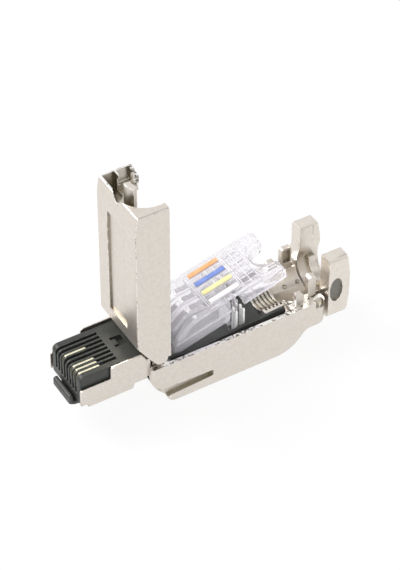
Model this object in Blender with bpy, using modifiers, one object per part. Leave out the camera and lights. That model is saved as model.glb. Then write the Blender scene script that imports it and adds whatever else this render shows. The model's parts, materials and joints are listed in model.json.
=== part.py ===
"""Field termination ethernet plug, cover open: die-cast shell, eight-way nose, insulation
displacement terminals, clear wire manager and a quarter-turn lock at the cable end.

Sizes are millimetres in a frame of the lower shell: X runs from the mating nose to the cable,
Y across and Z up, with zero at the front of the shell's rim, on its middle plane. Each piece is
shaped in millimetres and scaled to metres when it is finished. The empty called field_plug
carries everything and stands the shell on the ground.
"""

import math

import bmesh
import bpy
from mathutils import Matrix, Vector

MM = 0.001

# Running and fitting clearances
FIT = 0.3
SLIDE = 0.2

# Shell
BODY_WIDTH = 13.7
RIM_LENGTH = 36.0
BASE_DEPTH = 10.0
TAIL_DEPTH = 6.0
COVER_DEPTH = 6.9
WALL = 1.0
FLOOR = 1.4
EDGE_ROUND = 0.8
COVER_ROUND = 0.4
FRONT_OVERHANG = 0.9
FRONT_RADIUS = 8.0
BELLY_RADIUS = 7.0
BELLY_END = 25.5
RIM_STEP = 0.35
RIM_LUG = (30.3, 32.0)

# Cable channel
CABLE_AXIS = 1.3
SADDLE_WALL = 2.85
GRIP_STEP = 0.7
GRIP_GROOVE = 0.45
GRIP_PITCH = 0.8
GRIP_RIBS = 5
TAIL_START = 29.3

# Quarter-turn lock
LOCK_THICKNESS = 3.9
LOCK_TOP = 9.1
LOCK_CROWN = 0.7
FAR_ARM_RISE = 0.2
FAR_ARM_INSET = 0.9
COLLAR_STEP = 0.5
COLLAR_WALL = 0.5
COLLAR_LENGTH = 1.9
FLANGE_WIDTH = 0.7
FLANGE_HEIGHT = 0.7
THUMB_HOLE = (2.7, 5.6, 0.35)

# Posts beside the cable at the shell's end
POST_HEIGHT = 5.1
POST_WIDTH = 1.7
POST_THICKNESS = 1.0
POST_HEAD = 0.85
POST_X = 33.2

# Cover
HINGE_X = 1.05
HINGE_Z = 2.2
KNUCKLE_RADIUS = 1.4
HINGE_PIN_RADIUS = 0.45
PIN_SKIN = 0.35
COVER_SLOPE_END = 5.6
COVER_OPEN_ANGLE = 90.0
COVER_POCKET = 3.0
COVER_END_CHAMFER = (3.0, 0.45)
LABEL_RECESS = (23.0, 6.2, 0.4)
TONGUE_RADIUS = 3.7
TONGUE_THICKNESS = 1.2
TONGUE_REACH = 2.2
COVER_LUG = (30.6, 34.2)

# Nose
NOSE_LENGTH = 14.8
NOSE_WIDTH = 11.68
NOSE_TOP = 3.7
NOSE_BOTTOM = 3.4
SHIELD_THICKNESS = 0.35
SHIELD_RISE = 0.35
CARRIER_ROUND = 1.1
CONTACT_PITCH = 1.02
CONTACT_COUNT = 8
SLOT_WIDTH = 0.62
SLOT_LENGTH = 8.3
CONTACTS = (1, 2, 3, 6)
CONTACT_THICKNESS = 0.36
CONTACT_LENGTH = 4.9
CONTACT_SET_BACK = 0.2
CONTACT_TOP = 3.45

# Latch
LATCH_WIDTH = 6.0
LATCH_TONGUE = 3.2
LATCH_SLOPE = 11.0
LATCH_RUN = 12.7
LATCH_STEP = 6.3
LATCH_THICKNESS = 1.1
LATCH_NOSE = 1.0

# Terminals and wire manager
WIRES = 4
WIRE_EDGE = 0.85
TERMINAL_ROWS = (18.2, 19.7)
TERMINAL_GAP = 1.0
TERMINAL_SHEET = 0.4
TERMINAL_TOP = 3.6
MANAGER_HINGE = (3.4, -0.7)
MANAGER_LENGTH = 26.5
MANAGER_SIDE_ROOM = 1.15
MANAGER_TOP = 5.4
MANAGER_CURVE = 6.6
MANAGER_FOOT = 14.2
MANAGER_LIFT = 14.8
MARKER_START = 11.4
MARKER_SIZE = (6.2, 0.85, 0.45)
PRONG_WIDTH = 1.7
PRONG_LENGTH = 4.4
PRONG_CORNER = 3.2
FLANGE_OVERHANG = 0.6
FLANGE_LOW = 1.35

HALF = BODY_WIDTH / 2
INNER_HALF = HALF - WALL - 0.1
SADDLE_RADIUS = HALF - SADDLE_WALL
GRIP_RADIUS = SADDLE_RADIUS - GRIP_STEP
COLLAR_INNER = SADDLE_RADIUS + COLLAR_STEP
MANAGER_WIDTH = 2 * (INNER_HALF - MANAGER_SIDE_ROOM)
WIRE_PITCH = (MANAGER_WIDTH - 2 * WIRE_EDGE) / (WIRES - 1)
TERMINAL_WIDTH = WIRE_PITCH - TERMINAL_GAP
POST_INNER = SADDLE_RADIUS - 0.1
NOSE_HALF = NOSE_WIDTH / 2
COVER_GAP = 0.15
LOCK_START = RIM_LENGTH + 0.45
LOCK_END = LOCK_START + LOCK_THICKNESS
FRONT_X = -NOSE_LENGTH - LATCH_NOSE
MIDDLE_X = (FRONT_X + LOCK_END + LOCK_CROWN) / 2


# Helpers


def clear_scene():
    for obj in list(bpy.data.objects):
        bpy.data.objects.remove(obj, do_unlink=True)


def new_collection(name):
    collection = bpy.data.collections.new(name)
    bpy.context.scene.collection.children.link(collection)
    return collection


def material(name, colour, roughness, metallic=0.0, transmission=0.0):
    made = bpy.data.materials.new(name)
    made.use_nodes = True
    shader = made.node_tree.nodes["Principled BSDF"]
    shader.inputs["Base Color"].default_value = (*colour, 1.0)
    shader.inputs["Roughness"].default_value = roughness
    shader.inputs["Metallic"].default_value = metallic
    shader.inputs["Transmission Weight"].default_value = transmission
    return made


def arc(cx, cy, radius, start, end, steps):
    """Points on a circle from one angle to another, in degrees."""
    turns = [math.radians(start + (end - start) * i / steps) for i in range(steps + 1)]
    return [(cx + radius * math.cos(t), cy + radius * math.sin(t)) for t in turns]


def mesh_object(name, mesh):
    obj = bpy.data.objects.new(name, mesh)
    PARTS.objects.link(obj)
    return obj


def box(x, y, z, name="box"):
    """A box from three (low, high) pairs."""
    bm = bmesh.new()
    bmesh.ops.create_cube(bm, size=1.0)
    size = [high - low for low, high in (x, y, z)]
    middle = [(high + low) / 2 for low, high in (x, y, z)]
    bmesh.ops.scale(bm, vec=size, verts=bm.verts)
    bmesh.ops.translate(bm, vec=middle, verts=bm.verts)
    mesh = bpy.data.meshes.new(name)
    bm.to_mesh(mesh)
    bm.free()
    return mesh_object(name, mesh)


def cylinder(axis, centre, radius, low, high, name="cylinder", segments=32):
    """A cylinder along X, Y or Z; centre holds the two coordinates across the axis."""
    bm = bmesh.new()
    bmesh.ops.create_cone(
        bm, cap_ends=True, segments=segments, radius1=radius, radius2=radius, depth=high - low
    )
    middle = (low + high) / 2
    if axis == "X":
        turn, place = Matrix.Rotation(math.radians(90), 3, "Y"), (middle, centre[0], centre[1])
    elif axis == "Y":
        turn, place = Matrix.Rotation(math.radians(90), 3, "X"), (centre[0], middle, centre[1])
    else:
        turn, place = Matrix.Identity(3), (centre[0], centre[1], middle)
    bmesh.ops.rotate(bm, matrix=turn, verts=bm.verts)
    bmesh.ops.translate(bm, vec=place, verts=bm.verts)
    mesh = bpy.data.meshes.new(name)
    bm.to_mesh(mesh)
    bm.free()
    return mesh_object(name, mesh)


def extrusion(plane, loops, low, high, name="extrusion"):
    """A flat outline in the plane XZ, XY or YZ, drawn out from low to high across it."""
    curve = bpy.data.curves.new(name, "CURVE")
    curve.dimensions = "2D"
    curve.fill_mode = "BOTH"
    curve.extrude = (high - low) / 2
    for loop in loops:
        spline = curve.splines.new("POLY")
        spline.points.add(len(loop) - 1)
        for point, (u, v) in zip(spline.points, loop):
            point.co = (u, v, 0.0, 1.0)
        spline.use_cyclic_u = True
    guide = bpy.data.objects.new(name, curve)
    PARTS.objects.link(guide)
    graph = bpy.context.evaluated_depsgraph_get()
    mesh = bpy.data.meshes.new_from_object(guide.evaluated_get(graph))
    bpy.data.objects.remove(guide, do_unlink=True)
    middle = (low + high) / 2
    if plane == "XZ":
        place = Matrix(((1, 0, 0, 0), (0, 0, -1, middle), (0, 1, 0, 0), (0, 0, 0, 1)))
    elif plane == "YZ":
        place = Matrix(((0, 0, 1, middle), (1, 0, 0, 0), (0, 1, 0, 0), (0, 0, 0, 1)))
    else:
        place = Matrix.Translation((0, 0, middle))
    mesh.transform(place)
    bm = bmesh.new()
    bm.from_mesh(mesh)
    bmesh.ops.remove_doubles(bm, verts=bm.verts, dist=1e-4)
    bmesh.ops.dissolve_limit(bm, angle_limit=0.01, verts=bm.verts, edges=bm.edges)
    bmesh.ops.recalc_face_normals(bm, faces=bm.faces)
    bm.to_mesh(mesh)
    bm.free()
    mesh.name = name
    return mesh_object(name, mesh)


def settle(obj):
    """Applies the object's modifiers."""
    graph = bpy.context.evaluated_depsgraph_get()
    mesh = bpy.data.meshes.new_from_object(obj.evaluated_get(graph))
    obj.modifiers.clear()
    bm = bmesh.new()
    bm.from_mesh(mesh)
    bmesh.ops.remove_doubles(bm, verts=bm.verts, dist=1e-4)
    bmesh.ops.dissolve_degenerate(bm, edges=bm.edges, dist=1e-4)
    bm.to_mesh(mesh)
    bm.free()
    obj.data = mesh
    return obj


def combine(obj, others, operation):
    for other in others:
        step = obj.modifiers.new(operation.lower(), "BOOLEAN")
        step.operation = operation
        step.solver = "EXACT"
        step.object = other
    settle(obj)
    for other in others:
        bpy.data.objects.remove(other, do_unlink=True)
    return obj


def cut(obj, *others):
    return combine(obj, others, "DIFFERENCE")


def join(obj, *others):
    return combine(obj, others, "UNION")


def keep(obj, *others):
    return combine(obj, others, "INTERSECT")


def round_edges(obj, width, segments=2, angle=40):
    bevel = obj.modifiers.new("rounded edges", "BEVEL")
    bevel.width = width
    bevel.segments = segments
    bevel.limit_method = "ANGLE"
    bevel.angle_limit = math.radians(angle)
    obj.modifiers.new("flat faces", "TRIANGULATE")
    return settle(obj)


def finish(obj, name, look, origin=(0, 0, 0), turn=0.0, axis="Y"):
    """Names the piece, gives it a material, and puts its origin on its joint or seat."""
    obj.name = name
    obj.data.name = name
    obj.data.transform(Matrix.Scale(MM, 4) @ Matrix.Translation(-Vector(origin)))
    obj.location = Vector(origin) * MM
    obj.rotation_euler = [math.radians(turn) if a == axis else 0.0 for a in "XYZ"]
    obj.parent = ROOT
    obj.data.materials.clear()
    obj.data.materials.append(look)
    obj.data.shade_smooth()
    obj.data.set_sharp_from_angle(angle=math.radians(35))
    return obj


# Lower shell


def base_profile(top):
    """Side view of the lower shell: slanted front, flat belly and shallow tail."""
    chin = (-FRONT_OVERHANG + FRONT_RADIUS, -1.4)
    front = arc(*chin, FRONT_RADIUS, 180, 232, 6)
    foot = arc(FRONT_OVERHANG + 3.1, -BASE_DEPTH + 1.3, 1.3, 200, 270, 4)
    belly = arc(BELLY_END, -BASE_DEPTH + BELLY_RADIUS, BELLY_RADIUS, 270, 320, 6)
    fillet = 1.5
    rise = arc(BELLY_END + 7.3, -TAIL_DEPTH - fillet, fillet, 140, 90, 4)
    turn = EDGE_ROUND * 1.8
    corner = arc(RIM_LENGTH - turn, -TAIL_DEPTH + turn, turn, 270, 360, 4)
    ends = [(RIM_LENGTH, top), (-FRONT_OVERHANG, top)]
    return front + foot + belly + rise + corner + ends


def ring(inner, outer, start, end, low, high, steps=12):
    """Part of a ring about the cable's axis, between two angles seen from the nose side."""
    loop = arc(0, CABLE_AXIS, outer, start, end, steps) + arc(0, CABLE_AXIS, inner, end, start, steps)
    return extrusion("YZ", [loop], low, high)


def make_base(look):
    base = extrusion("XZ", [base_profile(EDGE_ROUND * 2)], -HALF, HALF)
    round_edges(base, EDGE_ROUND, 3)
    pocket_end = TAIL_START - FIT
    front_floor = -BASE_DEPTH + FLOOR + 0.1
    front_pocket = [
        (-3.0, 2.0),
        (-3.0, -NOSE_BOTTOM + 0.1),
        (0.8, -NOSE_BOTTOM + 0.1),
        (4.2, front_floor),
        (9.5, front_floor),
        (9.5, 2.0),
    ]
    block_start = TAIL_START - GRIP_RIBS * GRIP_PITCH - 0.6
    block_half = SADDLE_RADIUS
    plan = (
        [(9.0, -INNER_HALF)]
        + arc(pocket_end - 2, -INNER_HALF + 1.6, 1.6, 270, 360, 4)
        + [(pocket_end - 0.4, -block_half), (block_start, -block_half)]
        + [(block_start, block_half), (pocket_end - 0.4, block_half)]
        + arc(pocket_end - 2, INNER_HALF - 1.6, 1.6, 0, 90, 4)
        + [(9.0, INNER_HALF)]
    )
    step_half = INNER_HALF + RIM_STEP
    cut(
        base,
        box((-5, RIM_LENGTH + 5), (-HALF - 1, HALF + 1), (0, 5)),
        extrusion("XZ", [front_pocket], -INNER_HALF + 0.05, INNER_HALF - 0.05),
        extrusion("XY", [plan], -BASE_DEPTH + FLOOR, 2.0),
        box((3.0, TAIL_START - 0.3), (-step_half, step_half), (-0.5, 2.0)),
        cylinder("X", (0, CABLE_AXIS), SADDLE_RADIUS, TAIL_START, RIM_LENGTH + 2, segments=40),
        cylinder("X", (0, CABLE_AXIS), GRIP_RADIUS, block_start - 1, TAIL_START + 1, segments=40),
    )
    for rib in range(GRIP_RIBS):
        start = block_start + 0.5 + rib * GRIP_PITCH
        width = GRIP_PITCH / 2
        cut(base, cylinder("X", (0, CABLE_AXIS), GRIP_RADIUS + GRIP_GROOVE, start, start + width))
    collar_room = COLLAR_INNER + COLLAR_WALL + SLIDE
    flange_room = collar_room + FLANGE_HEIGHT
    slot_start = LOCK_START - COLLAR_LENGTH - SLIDE - FIT
    cut(
        base,
        ring(COLLAR_INNER - SLIDE, collar_room, 185, 355, slot_start, RIM_LENGTH + 1, 16),
        ring(collar_room - 0.1, flange_room, 203, 341, slot_start + 0.05, slot_start + 1.2, 15),
    )
    for side in (-1, 1):
        add_side_features(base, side)
    return finish(base, "base_housing", look)


def add_side_features(base, side):
    """Guide groove, hinge ear, rim lug and cable-end post on one side of the lower shell."""

    def across(low, high):
        return sorted((side * low, side * high))

    groove = [(0.5, -5.5), (11.6, -5.9), (11.9, -6.05), (11.9, -7.15), (11.6, -7.3), (0.5, -8.0)]
    ear_foot = [(-0.2, -0.6), (2.3, -0.6)]
    ear = ear_foot + arc(HINGE_X, HINGE_Z, 0.85, 0, 180, 8)
    lug_start, lug_end = RIM_LUG
    lug = [(lug_start, -0.5), (lug_end, -0.5), (lug_end, 1.9)]
    lug += arc(lug_end - 0.6, 1.9, 0.6, 0, 90, 3) + [(lug_start, 2.5)]
    join(
        base,
        extrusion("XZ", [ear], *across(INNER_HALF - 1.0, INNER_HALF - 0.25)),
        box((-0.35, 2.45), across(INNER_HALF - 1.1, INNER_HALF + 0.4), (-1.4, -0.45)),
        extrusion("XZ", [lug], *across(INNER_HALF - 1.25, INNER_HALF - 0.25)),
    )
    add_post(base, side, across)
    cut(
        base,
        extrusion("XZ", [groove], *across(HALF - 0.75, HALF + 1)),
        cylinder(
            "Y",
            (HINGE_X, HINGE_Z),
            HINGE_PIN_RADIUS + 0.1,
            *across(INNER_HALF - 1.75, INNER_HALF + 0.25),
            segments=16,
        ),
    )
    if side < 0:
        cut(base, box((33.9, 35.6), across(INNER_HALF - 0.05, HALF + 1), (-1.5, 1)))
    else:
        slot = (COVER_LUG[0] - 0.4, COVER_LUG[1] + 0.4)
        cut(base, box(slot, across(INNER_HALF - 0.25, HALF + 1), (-1.35, 1)))


def add_post(base, side, across):
    """The near post has a round head and the far one a hollow that faces the cable."""
    low_x, high_x = POST_X, POST_X + POST_WIDTH
    sides = across(POST_INNER, POST_INNER + POST_THICKNESS)
    if side < 0:
        crown = POST_HEIGHT - POST_HEAD
        join(base, box((low_x, high_x), sides, (-0.3, crown)))
        head = across(POST_INNER - 0.15, POST_INNER + POST_THICKNESS + 0.15)
        middle = (low_x + high_x) / 2
        join(base, cylinder("Y", (middle, crown - 0.02), POST_HEAD + 0.07, *head, segments=24))
        return
    round_top = 0.5
    outline = [(low_x - 0.3, -0.3), (high_x + 0.2, -0.3)]
    outline += arc(high_x + 0.2 - round_top, POST_HEIGHT - round_top, round_top, 0, 90, 3)
    outline += arc(low_x - 0.3 + round_top, POST_HEIGHT - round_top, round_top, 90, 180, 3)
    join(base, extrusion("XZ", [outline], *sides))
    hollow = across(POST_INNER - 1, POST_INNER + POST_THICKNESS * 0.6)
    cut(base, box((low_x + 0.15, high_x - 0.05), hollow, (1.6, POST_HEIGHT - 0.6)))


# Nose


def make_shield(look):
    rear = -FRONT_OVERHANG - FIT
    bottom = -NOSE_BOTTOM
    side = (
        [(-NOSE_LENGTH, bottom + 0.8), (-NOSE_LENGTH + 1.3, bottom + 0.8), (-NOSE_LENGTH + 1.5, bottom)]
        + [(-4.1, bottom), (-3.9, bottom + 1.1), (rear, bottom + 1.1)]
        + [(rear, NOSE_TOP - 1.3), (rear - 1.1, NOSE_TOP + SHIELD_RISE)]
        + arc(-8.0, NOSE_TOP + SHIELD_RISE - 0.6, 0.6, 90, 180, 3)
        + [(-8.6, 1.2), (-NOSE_LENGTH + 0.3, 1.2), (-NOSE_LENGTH, 0.9)]
    )
    shield = extrusion("XZ", [side], -NOSE_HALF, NOSE_HALF)
    round_edges(shield, 0.15, 1)
    inner = NOSE_HALF - SHIELD_THICKNESS
    floor = bottom + SHIELD_THICKNESS
    cut(
        shield,
        box((-20, -4.6), (-inner, inner), (floor, 6)),
        box((-5, 2), (-inner, inner), (floor + 1.1, 6)),
        box((-20, -5.2), (-LATCH_WIDTH / 2 - 0.6, LATCH_WIDTH / 2 + 0.6), (bottom - 2, 0)),
    )
    return finish(shield, "nose_shield", look)


def slot_centre(number):
    """Y of one of the eight contact positions, number 1 nearest the viewer."""
    return (number - (CONTACT_COUNT + 1) / 2) * CONTACT_PITCH


def make_carrier(look):
    nose_half = NOSE_HALF - SHIELD_THICKNESS - FIT
    front = -NOSE_LENGTH + 0.2
    low = -NOSE_BOTTOM + SHIELD_THICKNESS + FIT
    nose = (
        [(front, low)]
        + arc(front + CARRIER_ROUND, NOSE_TOP - CARRIER_ROUND, CARRIER_ROUND, 180, 90, 5)
        + [(-2.0, NOSE_TOP), (-2.0, low + 1.1), (-4.9, low + 1.1), (-4.9, low)]
    )
    carrier = extrusion("XZ", [nose], -nose_half, nose_half)
    round_edges(carrier, 0.25, 2)
    top = -1.7
    corner = 1.3
    rear = TAIL_START - 2 * FIT - 0.3
    body = [
        (-2.4, low + 1.15),
        (0.9, low + 1.15),
        (4.6, -BASE_DEPTH + FLOOR + FIT),
        (rear + 1, -BASE_DEPTH + FLOOR + FIT),
        (rear + 1, 0.9),
        (19.0, 0.3),
        (8.0, -0.6),
        (4.8, 0.15),
        (1.9, 0.15),
        (1.9, -0.9),
        (-2.4, -0.9),
    ]
    body_half = INNER_HALF - FIT
    arm = SADDLE_RADIUS + FIT
    block_start = TAIL_START - GRIP_RIBS * GRIP_PITCH - 0.6 - FIT
    trough_half = MANAGER_WIDTH / 2 + FIT
    plan = (
        [(-3, -body_half)]
        + arc(rear - corner, -body_half + corner, corner, 270, 360, 4)
        + arc(rear - corner, body_half - corner, corner, 0, 90, 4)
        + [(-3, body_half)]
    )
    shape = extrusion("XY", [plan], -BASE_DEPTH, NOSE_TOP)
    keep(shape, extrusion("XZ", [body], -HALF, HALF))
    join(carrier, shape)
    cut(
        carrier,
        box((2.2, rear + 1), (-trough_half, trough_half), (top, 3)),
        box((block_start, rear + 1), (-arm, arm), (-BASE_DEPTH, 3)),
        box((-1.95, 2.5), (INNER_HALF - 1.35, HALF + 1), (-1.8, 5)),
        box((-1.95, 2.5), (-HALF - 1, 1.35 - INNER_HALF), (-1.8, 5)),
        cylinder("Y", MANAGER_HINGE, 0.6, -HALF, HALF, segments=16),
    )
    cut_slots(carrier, front)
    return finish(carrier, "contact_carrier", look)


def cut_slots(carrier, front):
    """The eight contact slots, the window behind them and the four terminal pockets."""
    back = front + SLOT_LENGTH
    deep = front + CONTACT_SET_BACK + CONTACT_LENGTH + 0.35
    profile = [
        (front - 1, -0.9),
        (front + 0.5, -0.9),
        (front + 0.5, 0.2),
        (deep, 0.2),
        (deep + 0.3, 2.3),
        (back, 2.3),
        (back, NOSE_TOP + 1),
        (front - 1, NOSE_TOP + 1),
    ]
    slots = []
    for number in range(1, CONTACT_COUNT + 1):
        middle = slot_centre(number)
        slots.append(extrusion("XZ", [profile], middle - SLOT_WIDTH / 2, middle + SLOT_WIDTH / 2))
    cut(carrier, *slots)
    window = [
        (back + 1.2, -1.3),
        (back + 3.5, -1.3),
        (back + 3.5, 1.3),
        (back + 1.2, 1.3),
        (back + 1.2, 0.7),
        (back + 2.1, 0.7),
        (back + 2.1, -0.7),
        (back + 1.2, -0.7),
    ]
    cut(carrier, extrusion("XY", [window], NOSE_TOP - 0.9, NOSE_TOP + 1))
    pockets = []
    for middle in wire_centres():
        half = TERMINAL_WIDTH / 2 + 0.15
        room = (TERMINAL_ROWS[0] - 0.5, TERMINAL_ROWS[1] + 0.5)
        pockets.append(box(room, (middle - half, middle + half), (-3.4, 3)))
    cut(carrier, *pockets)


def wire_centres():
    return [(wire - (WIRES - 1) / 2) * WIRE_PITCH for wire in range(WIRES)]


def make_contact(number, look):
    """One gold blade, rounded where the socket's wire rides on it."""
    front = -NOSE_LENGTH + 0.2 + CONTACT_SET_BACK
    rear = front + CONTACT_LENGTH
    middle = slot_centre(number)
    half = CONTACT_THICKNESS / 2
    blade = (
        [(front, 0.5), (rear, 0.5)]
        + arc(rear - 0.4, CONTACT_TOP - 0.4, 0.4, 0, 90, 2)
        + arc(front + 0.9, CONTACT_TOP - 0.9, 0.9, 90, 180, 4)
    )
    contact = extrusion("XZ", [blade], middle - half, middle + half)
    return finish(contact, f"contact_{number}", look)


def make_latch(look):
    """The sprung lever: a root across the nose's front edge and a tongue that slopes away."""
    root_x = FRONT_X
    slope = math.tan(math.radians(LATCH_SLOPE))
    start_x = -NOSE_LENGTH - 0.1
    end_x = start_x + LATCH_RUN
    low = -NOSE_BOTTOM - 0.2
    drop = (end_x - start_x) * slope
    side = (
        [(root_x + 0.3, -2.0), (start_x, -2.0), (start_x, low + 0.1)]
        + [(end_x, low - drop + 0.5), (end_x, low - drop - LATCH_THICKNESS + 0.5)]
        + [(end_x - 1.8, low - drop - LATCH_THICKNESS + 0.9)]
        + [(start_x + 0.2, low - LATCH_THICKNESS + 0.2), (root_x + 0.5, low - 0.6), (root_x, low - 0.2)]
        + [(root_x, -2.3)]
    )
    latch = extrusion("XZ", [side], -LATCH_WIDTH / 2, LATCH_WIDTH / 2)
    tongue = LATCH_TONGUE / 2
    step_x = start_x + LATCH_STEP
    depth = (-NOSE_BOTTOM - drop - 2 * LATCH_THICKNESS - 1, NOSE_BOTTOM)
    cut(
        latch,
        box((step_x, end_x + 1), (tongue, LATCH_WIDTH), depth),
        box((step_x, end_x + 1), (-LATCH_WIDTH, -tongue), depth),
    )
    round_edges(latch, 0.15, 1)
    return finish(latch, "latch_lever", look, origin=(start_x, 0, -NOSE_BOTTOM + 0.4))


# Terminals and wire manager


def make_terminal(index, middle, look):
    """Two slotted forks in line along the wire, on one foot."""
    first, last = TERMINAL_ROWS
    sheet = TERMINAL_SHEET
    foot = -3.1
    outline = [
        (first - sheet / 2, foot),
        (last + sheet / 2, foot),
        (last + sheet / 2, TERMINAL_TOP),
        (last - sheet / 2, TERMINAL_TOP),
        (last - sheet / 2, foot + sheet),
        (first + sheet / 2, foot + sheet),
        (first + sheet / 2, TERMINAL_TOP),
        (first - sheet / 2, TERMINAL_TOP),
    ]
    half = TERMINAL_WIDTH / 2
    terminal = extrusion("XZ", [outline], middle - half, middle + half)
    top = TERMINAL_TOP
    notch = [
        (middle - 0.17, -1.2),
        (middle + 0.17, -1.2),
        (middle + 0.17, top - 0.7),
        (middle + 0.5, top + 0.1),
        (middle - 0.5, top + 0.1),
        (middle - 0.17, top - 0.7),
    ]
    cut(terminal, extrusion("YZ", [notch], first - 1, last + 1))
    return finish(terminal, f"idc_terminal_{index + 1}", look)


def make_manager(look):
    """Clear hinged moulding with four wire channels and two prongs, modelled pressed down."""
    hx, hz = MANAGER_HINGE
    half = MANAGER_WIDTH / 2
    tip = hx + MANAGER_LENGTH
    top = MANAGER_TOP
    curve_x, curve_z = hx + 1.8 + MANAGER_CURVE, top - MANAGER_CURVE
    side = (
        arc(hx, hz, 0.8, 250, 130, 4)
        + arc(curve_x, curve_z, MANAGER_CURVE, 172, 92, 8)
        + [(tip - 4.0, top), (tip - 1.1, top - 0.3), (tip - 0.3, top - 0.9), (tip, top - 1.9)]
        + [(tip - 0.1, 1.5), (tip - 0.6, 0.7), (tip - 1.5, 0.4)]
        + [(hx + MANAGER_FOOT, 0.4), (hx + MANAGER_FOOT - 0.6, -1.2), (hx + 1.2, -1.25)]
    )
    wide = half + FLANGE_OVERHANG
    body = extrusion("XZ", [side], -wide, wide)
    gap = wide - PRONG_WIDTH
    corner = min(PRONG_CORNER, gap * 0.9)
    root = tip - PRONG_LENGTH
    floor = 0.9
    inside = half - 0.8
    prong_gap = arc(root + corner, corner - gap, corner, 180, 270, 5)
    prong_gap += [(tip + 1, -gap), (tip + 1, gap)]
    prong_gap += arc(root + corner, gap - corner, corner, 90, 180, 5)
    cut(
        body,
        extrusion("XY", [prong_gap], -3, top + 3),
        box((hx + 2.0, root - 2.0), (-inside, inside), (-3, floor)),
        box((hx - 2.0, tip + 1), (half, wide + 1), (-3, FLANGE_LOW)),
        box((hx - 2.0, tip + 1), (-wide - 1, -half), (-3, FLANGE_LOW)),
    )
    channels = []
    depth = 2.0
    flat = MARKER_START - 1.0
    for middle in wire_centres():
        curve = arc(curve_x, curve_z, MANAGER_CURVE - depth, 142, 92, 6)
        run = [(hx + flat, top - depth), (hx + flat, top + 1)]
        lead = [(hx - 2, top + 1), (hx - 2, FLANGE_LOW + 0.25), (hx + 1.8, FLANGE_LOW + 0.25)]
        channels.append(extrusion("XZ", [lead + curve + run], middle - 0.7, middle + 0.7))
    cut(body, *channels)
    steps = [box((hx + flat - 1.5, hx + flat + 0.2), (-wide - 1, wide + 1), (top - 0.3, top + 1))]
    for middle in wire_centres():
        for row_start in (tip - 8.0, tip - 6.4):
            where = (middle - 0.75, middle + 0.75)
            steps.append(box((row_start, row_start + 1.1), where, (top - 0.35, top + 1)))
    cut(body, *steps)
    wire_z = 3.55
    wire_room = 0.65
    tunnels = []
    for middle in wire_centres():
        run = (hx + MARKER_START - 3.0, root + 0.5)
        tunnels.append(cylinder("X", (middle, wire_z), wire_room, *run, segments=10))
    guide = wire_centres()[-1] + wire_room + 0.05
    guide_z = (wire_z - wire_room - 0.05, wire_z + wire_room + 0.05)
    tunnels.append(box((root - 0.2, tip + 1), (-guide, guide), guide_z))
    cut(body, *tunnels)
    first, last = TERMINAL_ROWS
    slots = [box((first - 0.5, last + 0.95), (-wide - 1, wide + 1), (-3, 2.2))]
    for row in TERMINAL_ROWS:
        fork_room = (row - 0.45, row + 0.6)
        slots.append(box(fork_room, (-wide - 1, wide + 1), (2.1, TERMINAL_TOP + 0.8)))
    cut(body, *slots)
    seats = []
    length, width, depth = MARKER_SIZE
    for middle in wire_centres():
        seat = (middle - width / 2 - 0.12, middle + width / 2 + 0.12)
        where = (hx + MARKER_START - 0.12, hx + MARKER_START + length + 0.12)
        seats.append(box(where, seat, (MANAGER_TOP - depth + 0.1, MANAGER_TOP + 1)))
    cut(body, *seats)
    reach = INNER_HALF - 0.4
    stub = cylinder("Y", MANAGER_HINGE, HINGE_PIN_RADIUS, -reach, reach, segments=16)
    join(body, stub)
    return finish(body, "wire_manager", look, origin=(hx, 0, hz), turn=-MANAGER_LIFT)


def make_marker(name, middle, look):
    hx, hz = MANAGER_HINGE
    length, width, depth = MARKER_SIZE
    low = MANAGER_TOP - depth + 0.22
    bar = box(
        (hx + MARKER_START, hx + MARKER_START + length),
        (middle - width / 2, middle + width / 2),
        (low, MANAGER_TOP + 0.12),
    )
    return finish(bar, f"marker_{name}", look, origin=(hx, 0, hz), turn=-MANAGER_LIFT)


# Cover


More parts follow.
